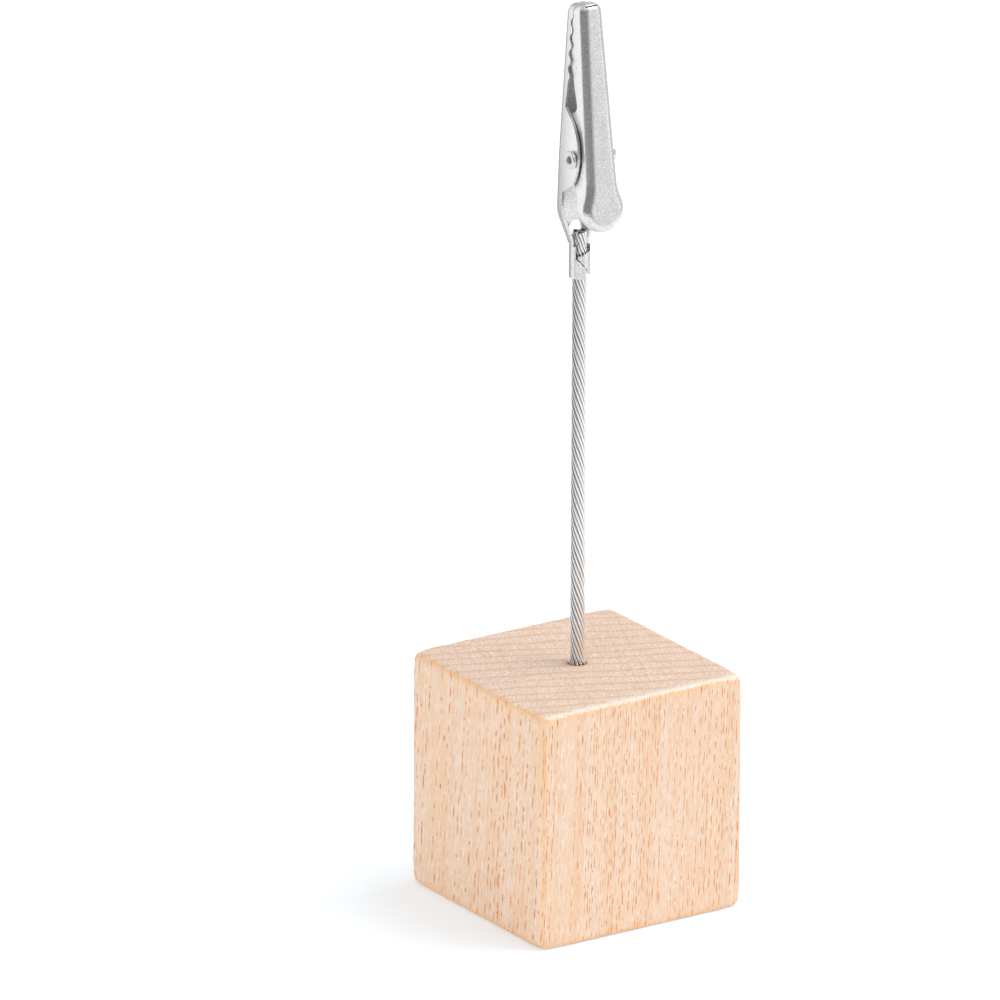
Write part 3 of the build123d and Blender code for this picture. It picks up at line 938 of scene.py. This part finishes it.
# %% [markdown]
# Drawn wire is bright, with fine scratches along its length, so its pebbles are long and thin. Deep between the
# wires, where the wires shade each other, the colour is darkened with painted shade. That depth is easy to tell: it is
# the distance from the rope's middle.

# %% Rope steel
groove_reach = (1.16 * mm, 1.03 * mm)


def in_groove(tree):
    """1 deep in the grooves between the wires, where the shade is painted."""
    place = tree.nodes.new("ShaderNodeTexCoord")
    level = reckon_vector(tree, "MULTIPLY", place.outputs["Object"], Vector((1, 1, 0)))
    return soft_step(tree, reckon_vector(tree, "LENGTH", level, result="Value"), *groove_reach)


# The grooves between the wires get painted shade.
rope_steel = metal_finish("drawn_rope_wire", ((0.05, 0.05, 0.8), (1.2, 1.2, 9.0), (1.2, 1.2, 3.0)),
                          bright=grey(0.95), dull=grey(0.8), gloss=(0.04, 0.1), depth=0.004 * mm,
                          painted_shade=in_groove)
dress(rope, "stand", "rope_steel", rope_steel, "wire_rope")
print("rope steel has", len(rope_steel.node_tree.nodes), "nodes")

# %% [markdown]
# The glue that holds the rope fills the bore to just below its mouth. It is dark amber and set with small bubbles,
# and from above a ring of it shows round the rope. The solid has the right shape, so it only gets a finish. Glue is
# not metal, so it has a material of its own, but the pebble, smudge and pit masks serve for its skin and bubbles.

# %% Glue
amber, glue_tree, glue_shader = new_finish("amber_glue")
glue_marks = metal_marks(glue_tree, pebble_size=(0.3, 0.3, 0.3), smudge_size=(0.8, 0.8, 2.0),
                         pit_spacing=(0.5, 0.5, 0.5))
glue_colour = tint(glue_tree, glue_marks["Smudge"], (0.40, 0.20, 0.07, 1), (0.25, 0.11, 0.035, 1))
glue_colour = tint(glue_tree, glue_marks["Pits"], glue_colour, (0.62, 0.40, 0.2, 1))
feed(glue_tree, glue_shader.inputs["Base Color"], glue_colour)
feed(glue_tree, glue_shader.inputs["Roughness"], spread(glue_tree, glue_marks["Smudge"], 0.08, 0.25))
glue_shader.inputs["IOR"].default_value = 1.5
roughen(glue_tree, glue_shader, glue_marks["Pebble"], depth=0.05 * mm)
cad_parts["glue"].data.materials.clear()
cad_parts["glue"].data.materials.append(amber)
print("glue faces:", len(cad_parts["glue"].data.polygons))

# %% [markdown]
# The jaws turn on a tube rivet whose ends are rolled over. The solid's heads have plain chamfers, and in the light a
# rolled lip is rounder than that. The rivet is a turned form, so it is made as on a lathe: half of its section is
# drawn once, from the bore over the lip to the shank, mirrored for the other end, and turned round the pivot's
# line. The inside of the tube stays matt, because nothing polishes it.

# %% Pivot rivet
rivet_low, rivet_high = (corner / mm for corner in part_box("pivot_rivet"))
pivot = (rivet_low + rivet_high) / 2
rivet_end = rivet_high.x
head_radius = (rivet_high.z - rivet_low.z) / 2
head_length = 0.6
shank_radius = 1.1
tube_radius = 0.65


def corner_arc(along, out, radius, start, end, steps=6):
    """Points of an arc in the rivet's section, as (along the pivot, out from it). Angles are in degrees."""
    angles = [math.radians(start + (end - start) * number / steps) for number in range(steps + 1)]
    return [(along + radius * math.cos(a), out + radius * math.sin(a)) for a in angles]


lip = 0.2
mouth = 0.25
heel = 0.15
half_section = [(0, tube_radius)]
half_section += corner_arc(rivet_end - mouth, tube_radius + mouth, mouth, -90, 0)
half_section += corner_arc(rivet_end - lip, head_radius - lip, lip, 0, 90)
half_section += corner_arc(rivet_end - head_length + heel, head_radius - heel, heel, 90, 180, 3)
half_section += [(rivet_end - head_length, shank_radius), (0, shank_radius)]
section = half_section[:-1] + [(-along, out) for along, out in reversed(half_section)][:-1]

turning = bmesh.new()
segments = 48
rings = []
for number in range(segments):
    angle = 2 * math.pi * number / segments
    rings.append([turning.verts.new(pivot + Vector((along, out * math.cos(angle), out * math.sin(angle))))
                  for along, out in section])
for ring, following in zip(rings, rings[1:] + rings[:1]):
    for number in range(len(section)):
        after = (number + 1) % len(section)
        turning.faces.new((ring[number], ring[after], following[after], following[number]))
rivet = finish_shape(turning, "tube_rivet", sharp=35)
tube_reach = (0.8 * mm, 0.68 * mm)


def in_tube(tree):
    """1 inside the rivet's tube."""
    place = tree.nodes.new("ShaderNodeTexCoord")
    from_pivot = reckon_vector(tree, "SUBTRACT", place.outputs["Object"], pivot * mm)
    outwards = reckon_vector(tree, "MULTIPLY", from_pivot, Vector((0, 1, 1)))
    return soft_step(tree, reckon_vector(tree, "LENGTH", outwards, result="Value"), *tube_reach)


rivet_steel = metal_finish("polished_rivet", ((0.1, 0.1, 0.1), (0.9, 0.9, 0.9), (0.8, 0.8, 0.8)),
                           bright=grey(0.88), dull=grey(0.68), gloss=(0.1, 0.24), depth=0.004 * mm, matt=in_tube)
dress(rivet, "stand", "rivet_steel", rivet_steel, "pivot_rivet")

# %% [markdown]
# A torsion spring round the rivet presses the jaws together. The solid's wire has five sides, and here it is round.
# Its right leg rests on the fixed jaw, its left leg on the lever, and the coil winds up as the lever is pressed.

# %% Torsion spring
spring_wire = 0.55
coil_radius = 1.65
coil_half_width = 1.904
floor_foot = Vector((0, 0.882, 123.05))
lever_foot = Vector((0, -7.090, 123.44))
whole_turns = 3


def leaves_coil(foot, side):
    """The angle round the pivot at which a straight leg from the foot touches the coil."""
    arm = foot - pivot
    return math.atan2(arm.z, arm.y) + side * math.acos(coil_radius / math.hypot(arm.y, arm.z))


first = leaves_coil(floor_foot, 1)
last = leaves_coil(lever_foot, -1) + 2 * math.pi * (whole_turns + 1)
steps = 160
flat_end = 0.035
spring_line = [floor_foot + Vector((coil_half_width, 0, 0))]
for number in range(steps + 1):
    angle = first + (last - first) * number / steps
    share = min(max((number / steps - flat_end) / (1 - 2 * flat_end), 0), 1)
    spring_line.append(pivot + Vector((coil_half_width * (1 - 2 * share), coil_radius * math.cos(angle),
                                       coil_radius * math.sin(angle))))
spring_line.append(lever_foot - Vector((coil_half_width, 0, 0)))

winding = bmesh.new()
round_rods(winding, [spring_line], spring_wire, resolution=3)
spring = finish_shape(winding, "jaw_spring", sharp=50)
spring_steel = metal_finish("spring_wire", ((0.05, 0.3, 0.3), (1.0, 1.0, 1.0), (0.9, 0.9, 0.9)),
                            bright=grey(0.72), dull=grey(0.56), gloss=(0.22, 0.36), depth=0.004 * mm)
spring.data.materials.append(spring_steel)
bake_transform(spring)
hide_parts("torsion_spring")
